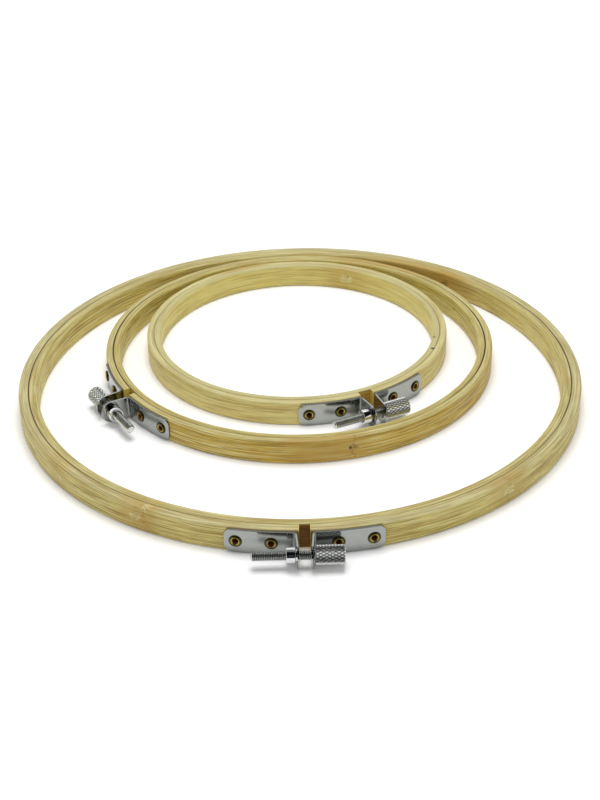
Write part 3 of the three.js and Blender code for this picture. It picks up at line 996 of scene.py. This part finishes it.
class BentStrip:
    """Where a point of the flat blank goes. s runs from the ear's tip, n from the inner face."""

    def __init__(self, hoop):
        self.half = hoop.height / 2 - STRAP_INSET
        self.inside = hoop.radius + SEAT
        self.outer_bend = BEND_RADIUS + STRAP_THICKNESS
        from_centre = self.inside + self.outer_bend
        ear_face = EAR_SPACING / 2 * math.cos(LEAN) + hoop.screw_radius * math.sin(LEAN)
        self.bend_at = math.asin((ear_face + self.outer_bend) / from_centre) - LEAN
        self.bend_centre = from_centre * Vector((math.cos(self.bend_at), math.sin(self.bend_at)))
        self.ear = Vector((math.cos(LEAN), -math.sin(LEAN)))
        self.back = Vector((math.sin(LEAN), math.cos(LEAN)))
        self.axis = Vector((hoop.screw_radius, EAR_SPACING / 2))
        touch = self.bend_centre - self.outer_bend * self.back
        self.ear_length = self.half + (self.axis - touch).dot(self.ear)
        self.bend_turn = math.pi / 2 - LEAN - self.bend_at
        self.bend_neutral = BEND_RADIUS + STRAP_THICKNESS / 2
        self.bend_end = self.ear_length + self.bend_neutral * self.bend_turn
        self.neutral = self.inside + STRAP_THICKNESS / 2
        self.length = self.at_angle(STRAP_REACH / hoop.radius)

    def at_angle(self, angle):
        return self.bend_end + (angle - self.bend_at) * self.neutral

    def bent(self, s, n):
        if s <= self.ear_length:
            return self.axis + self.ear * (self.half - s) + self.back * n
        if s <= self.bend_end:
            turn = (s - self.ear_length) / self.bend_neutral
            heading = 1.5 * math.pi - LEAN - turn
            arm = Vector((math.cos(heading), math.sin(heading)))
            return self.bend_centre + arm * (self.outer_bend - n)
        angle = self.bend_at + (s - self.bend_end) / self.neutral
        return (self.inside + n) * Vector((math.cos(angle), math.sin(angle)))

    def stations(self):
        """Where the flat blank is scored, from the start of the bend to the strap's end."""
        bend, rest = self.bend_end - self.ear_length, self.length - self.bend_end
        in_bend = [self.ear_length + bend * step / BEND_STEPS for step in range(BEND_STEPS + 1)]
        in_strap = [self.bend_end + rest * step / STRAP_STEPS for step in range(1, STRAP_STEPS)]
        return in_bend + in_strap


def flat_blank(strip, holes):
    """A plate in the XY plane, from z = 0 up to the sheet's thickness."""
    bm = bmesh.new()
    half = strip.half
    corners = [(0, -half, half), (strip.length, -half, STRAP_CORNER),
               (strip.length, half, STRAP_CORNER), (0, half, half)]
    vertices = [bm.verts.new((x, y, 0)) for x, y, rounding in corners]
    for index in range(4):
        bm.edges.new((vertices[index], vertices[(index + 1) % 4]))
    for vertex, (x, y, rounding) in zip(vertices, corners):
        bmesh.ops.bevel(bm, geom=[vertex], offset=rounding, segments=ROUND_STEPS,
                        profile=0.5, affect="VERTICES", material=-1)
    bmesh.ops.remove_doubles(bm, verts=bm.verts, dist=1e-3)
    for along, radius in holes:
        bmesh.ops.create_circle(bm, cap_ends=False, radius=radius, segments=HOLE_SIDES,
                                matrix=Matrix.Translation((along, 0, 0)))
    bmesh.ops.triangle_fill(bm, use_beauty=True, use_dissolve=False, edges=bm.edges[:])
    lifted = bmesh.ops.extrude_face_region(bm, geom=bm.faces[:])["geom"]
    bmesh.ops.translate(bm, vec=(0, 0, STRAP_THICKNESS),
                        verts=[part for part in lifted if isinstance(part, bmesh.types.BMVert)])
    bmesh.ops.recalc_face_normals(bm, faces=bm.faces)
    rims = [edge for edge in bm.edges if edge.calc_face_angle(0) > RIM_ANGLE]
    bmesh.ops.bevel(bm, geom=rims, offset=RIM, segments=2, profile=0.5, affect="EDGES", material=-1)
    return bm


def strap(hoop, side, finish):
    strip = BentStrip(hoop)
    rivets = [(strip.at_angle(along / hoop.radius), RIVET_HOLE) for along in EYELETS_ALONG]
    bm = flat_blank(strip, [(strip.half, EAR_HOLE)] + rivets)
    for station in strip.stations():
        bmesh.ops.bisect_plane(bm, geom=bm.verts[:] + bm.edges[:] + bm.faces[:], dist=1e-4,
                               plane_co=(station, 0, 0), plane_no=(1, 0, 0))
    for vertex in bm.verts:
        x, y = strip.bent(vertex.co.x, vertex.co.z)
        vertex.co = (x, y, vertex.co.y)
    bmesh.ops.recalc_face_normals(bm, faces=bm.faces)
    turn = SIDE_OVER if side == "nut" else Matrix()
    made = piece(f"{hoop.name}_{side}_strap", bm, hoop, finish,
                 [f"{hoop.name}_{side}_bracket"], turn)
    even = made.modifiers.new("even_shading", "WEIGHTED_NORMAL")
    even.keep_sharp = True
    even.weight = 60
    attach(made, f"{hoop.name}_{'jaw' if side == 'nut' else 'outer'}")
    return made


for hoop in hoops:
    finish = strap_finish(hoop)
    for side in ("head", "nut"):
        made = strap(hoop, side, finish)
        print(made.name, len(made.data.polygons), "faces")

# %% [markdown]
# ## The rivets
#
# A tubular rivet is a short brass tube with a rolled collar. It is pushed through strap and
# wood from outside, and its inner end is spread in a recess so that nothing catches the cloth.
# The collar has two rings, the rolled rim and the lip of the tube, with a groove between them.
# One closed outline, spun round, makes tube, collar and clinched end together. Its points then
# get their painted shade, in the groove and at the collar's outer edge, a darker rolled rim, and
# `inside`, a painted warm reflection in the bore.

# %% Rivets
BORE = 1.25
COLLAR_THICK = 0.6
GROOVE = 1.95
GROOVE_DEPTH = 0.18
RIM_DROP = 0.1  # how far the rim, the lip and the mouth of the bore lie below the collar's top
LIP_DROP = 0.04
MOUTH_DROP = 0.3
# How much darker the rolled rim of a rivet is than its lip
RIM_DARKER = 0.75
RIVET_SIDES = 40


def rivet(hoop, number, along, side):
    inner_end = hoop.inner_outside + SEAM + CLINCH_DEEP
    seat = hoop.radius + STRAP_OUTSIDE + 0.02
    outer_end = seat + COLLAR_THICK
    bm = turned([
        (BORE, inner_end, 0.15), (CLINCH, inner_end, 0.15),
        (CLINCH, inner_end + CLINCH_THICK, 0.1), (BARREL, inner_end + CLINCH_THICK, 0),
        (BARREL, seat, 0), (COLLAR, seat, 0.08), (COLLAR, outer_end - RIM_DROP, 0.3),
        (GROOVE + 0.3, outer_end, 0.15), (GROOVE, outer_end - GROOVE_DEPTH, 0.06),
        (GROOVE - 0.18, outer_end - LIP_DROP, 0.08), (BORE, outer_end - MOUTH_DROP, 0.2),
    ], RIVET_SIDES, closed=True)
    shade_and_grime = bm.verts.layers.float.new("shade_and_grime")
    inside = bm.verts.layers.float.new("inside")
    for vertex in bm.verts:
        radius = math.hypot(vertex.co.x, vertex.co.y)
        # Painted shade in the groove and at the collar's outer edge, and a darker rolled rim
        in_groove = 1 - abs(radius - GROOVE) / 0.15
        on_rim = RIM_DARKER if radius > GROOVE + 0.1 else 0.0
        at_edge = (radius - COLLAR + 0.25) / 0.25
        vertex[shade_and_grime] = min(1.0, max(in_groove, on_rim, at_edge, 0.0))
        vertex[inside] = min(1.0, max(0.0, (BORE + 0.12 - radius) / 0.1))
    turn = Matrix.Rotation(along / hoop.radius, 4, "Z") @ OUTWARDS
    if side == "nut":
        turn = SIDE_OVER @ turn
    made = piece(f"{hoop.name}_rivet_{number}", bm, hoop, brass,
                 [f"{hoop.name}_eyelet_{number}"], turn)
    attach(made, f"{hoop.name}_{'jaw' if side == 'nut' else 'outer'}")
    return made


for hoop in hoops:
    number = 1
    for side in ("head", "nut"):
        for along in EYELETS_ALONG:
            made = rivet(hoop, number, along, side)
            number += 1
    print(hoop.name, number - 1, "rivets of", len(made.data.polygons), "faces")

# %% [markdown]
# ## The thumbscrew
#
# The screw is an M4 thread with a knurled head. `spin` can rise while it turns: one line of
# teeth, spun once while it climbs by one pitch, closes on itself as a thread. The ends are then
# cut flat with `bisect_plane`. The knurl is pressed by two sets of slanting grooves that cross
# and leave diamonds. Each point of a fine cylinder is simply lowered by the deeper of the two
# grooves there, and the deeper it goes, the more painted shade it gets, as do the roots of the
# thread.

# %% Thumbscrews
SCREW_RADIUS = 2.0
THREAD_PITCH = 0.7
THREAD_DEPTH = 0.43
THREAD_REACH = 21.6
ROOT_FLAT, FLANK, CREST_FLAT = 0.08, 0.4, 0.12  # the parts of one tooth, as shares of the pitch
# How much painted shade the roots of the thread get, at most
THREAD_ROOT_SHADE = 0.85
TIP_CHAMFER = 0.6
THREAD_STEPS = 40
HEAD_RADIUS = 4.0
HEAD_LENGTH = 12.0
HEAD_CHAMFER = 0.5
KNURL_DEPTH = 0.4
KNURLS_AROUND = 20
KNURL_LEAD = 2.4
KNURL_FINE = 14  # points across one diamond
RIDGE_FLAT = 0.12


def ear_back(disc_radius):
    """From the middle of the slot to an ear's outer face, where a disc of this radius meets it."""
    return EAR_SPACING / 2 + STRAP_THICKNESS / math.cos(LEAN) + disc_radius * math.tan(LEAN)


def thread(start, end):
    """A threaded rod along Z, chamfered at its start. It is made a tooth or two too long at each
    end, and then cut to length."""
    shares = (ROOT_FLAT, FLANK, CREST_FLAT)
    flat_root, flank, flat_crest = (THREAD_PITCH * share for share in shares)
    root = SCREW_RADIUS - THREAD_DEPTH
    turns = math.ceil((end - start) / THREAD_PITCH) + 2
    bm = bmesh.new()
    line = []
    for turn in range(turns):
        foot = start - 1.5 * THREAD_PITCH + turn * THREAD_PITCH
        line.append((root, foot))
        line.append((root, foot + flat_root))
        line.append((SCREW_RADIUS, foot + flat_root + flank))
        line.append((SCREW_RADIUS, foot + flat_root + flank + flat_crest))
    vertices = [bm.verts.new((x, 0, z)) for x, z in line]
    for first, second in zip(vertices, vertices[1:]):
        bm.edges.new((first, second))
    bmesh.ops.spin(bm, geom=bm.edges[:], cent=(0, 0, 0), axis=(0, 0, 1),
                   dvec=(0, 0, THREAD_PITCH / THREAD_STEPS), angle=2 * math.pi,
                   steps=THREAD_STEPS, use_merge=False)
    bmesh.ops.remove_doubles(bm, verts=bm.verts, dist=1e-3)
    for height, keep in ((start, 1), (end, -1)):
        bmesh.ops.bisect_plane(bm, geom=bm.verts[:] + bm.edges[:] + bm.faces[:], dist=1e-4,
                               plane_co=(0, 0, height), plane_no=(0, 0, -keep), clear_outer=True)
    for vertex in bm.verts:
        most = SCREW_RADIUS - TIP_CHAMFER + (vertex.co.z - start)
        radius = math.hypot(vertex.co.x, vertex.co.y)
        if radius > most:
            vertex.co.x *= most / radius
            vertex.co.y *= most / radius
    bmesh.ops.holes_fill(bm, edges=[edge for edge in bm.edges if edge.is_boundary], sides=0)
    bmesh.ops.recalc_face_normals(bm, faces=bm.faces)
    shade_and_grime = bm.verts.layers.float.new("shade_and_grime")
    # Painted shade, deeper towards the root of the thread
    for vertex in bm.verts:
        deep = (SCREW_RADIUS - math.hypot(vertex.co.x, vertex.co.y)) / THREAD_DEPTH
        past_tip = vertex.co.z > start + TIP_CHAMFER
        vertex[shade_and_grime] = min(THREAD_ROOT_SHADE, deep) if past_tip else 0.0
    return bm


def groove(turns):
    """1 at the bottom of a groove, 0 on the ridge between two, with a small flat on the ridge."""
    return max(0.0, abs(2 * (turns % 1) - 1) - RIDGE_FLAT) / (1 - RIDGE_FLAT)


def knurled_head(start):
    """A closed head along Z, its knurl between two plain chamfers."""
    end = start + HEAD_LENGTH
    face = HEAD_RADIUS - HEAD_CHAMFER
    bm = bmesh.new()
    line = [(0, start), (face, start), (HEAD_RADIUS, start + HEAD_CHAMFER),
            (HEAD_RADIUS, end - HEAD_CHAMFER), (face, end), (0, end)]
    vertices = [bm.verts.new((x, 0, z)) for x, z in line]
    edges = [bm.edges.new(pair) for pair in zip(vertices, vertices[1:])]
    columns = KNURLS_AROUND * KNURL_FINE
    rows = round((HEAD_LENGTH - 2 * HEAD_CHAMFER) / KNURL_LEAD * KNURL_FINE)
    bmesh.ops.subdivide_edges(bm, edges=[edges[2]], cuts=rows)
    bmesh.ops.subdivide_edges(bm, edges=[edges[1], edges[3]], cuts=3)
    spin(bm, 0, 2 * math.pi, columns)
    shade_and_grime = bm.verts.layers.float.new("shade_and_grime")
    for vertex in bm.verts:
        radius = math.hypot(vertex.co.x, vertex.co.y)
        if radius > face + 1e-3:
            around = math.atan2(vertex.co.y, vertex.co.x) / (2 * math.pi) * KNURLS_AROUND
            along = vertex.co.z / KNURL_LEAD
            depth = KNURL_DEPTH * max(groove(around + along), groove(around - along))
            lowered = max(min(radius, HEAD_RADIUS - depth), face)
            # Only the lower half of a groove gets painted shade
            vertex[shade_and_grime] = max(0.0, 2.2 * depth / KNURL_DEPTH - 1.2)
            vertex.co.x *= lowered / radius
            vertex.co.y *= lowered / radius
    bmesh.ops.recalc_face_normals(bm, faces=bm.faces)
    return bm


def thumbscrew(hoop):
    head_start = ear_back(HEAD_RADIUS) + SEAT
    bm = knurled_head(head_start)
    rod = mesh_of(thread(-THREAD_REACH, head_start + HEAD_CHAMFER), "rod")
    bm.from_mesh(rod)
    bpy.data.meshes.remove(rod)
    turn = Matrix.Translation((hoop.screw_radius, 0, 0)) @ ALONG
    made = piece(f"{hoop.name}_screw", bm, hoop, knurled,
                 [f"{hoop.name}_thumbscrew"], turn)
    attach(made, f"{hoop.name}_screw")
    return made


for hoop in hoops:
    made = thumbscrew(hoop)
    print(made.name, len(made.data.polygons), "faces")

# %% [markdown]
# ## The nut
#
# The nut is a plain round collar, staked in its ear by a thin spigot. One closed outline, spun
# round the screw's axis, makes both. Its bore is wider than the screw, because the nut swings a
# little off the screw's line when the ring opens.

# %% Nuts
NUT_RADIUS = 3.5
NUT_LENGTH = 3.9
NUT_CHAMFER = 0.35
NUT_BORE = 2.3
NUT_SIDES = 64
SPIGOT = 2.7
STAKE = 0.15  # how far the staked end stands out of the ear


def nut(hoop):
    start = ear_back(NUT_RADIUS) + SEAT
    end = start + NUT_LENGTH
    staked = EAR_SPACING / 2 - STAKE
    bm = turned([
        (NUT_BORE, staked, 0.08), (SPIGOT, staked, 0.2), (SPIGOT, start, 0),
        (NUT_RADIUS, start, NUT_CHAMFER), (NUT_RADIUS, end, NUT_CHAMFER), (NUT_BORE, end, 0.25),
    ], NUT_SIDES, closed=True)
    turn = SIDE_OVER @ Matrix.Translation((hoop.screw_radius, 0, 0)) @ ALONG
    made = piece(f"{hoop.name}_nut", bm, hoop, chrome, [f"{hoop.name}_clamp_nut"], turn)
    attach(made, f"{hoop.name}_jaw")
    return made


for hoop in hoops:
    made = nut(hoop)
    print(made.name, len(made.data.polygons), "faces")

# %% [markdown]
# ## Sizes
#
# The dressed hoops have to fill the same box as the frame, so both boxes are printed.

# %% Print the sizes
visual_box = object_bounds()
for label, (low, high) in (("CAD", cad_box), ("visual", visual_box)):
    print(label, [round(value / MM, 2) for value in high - low], "mm")
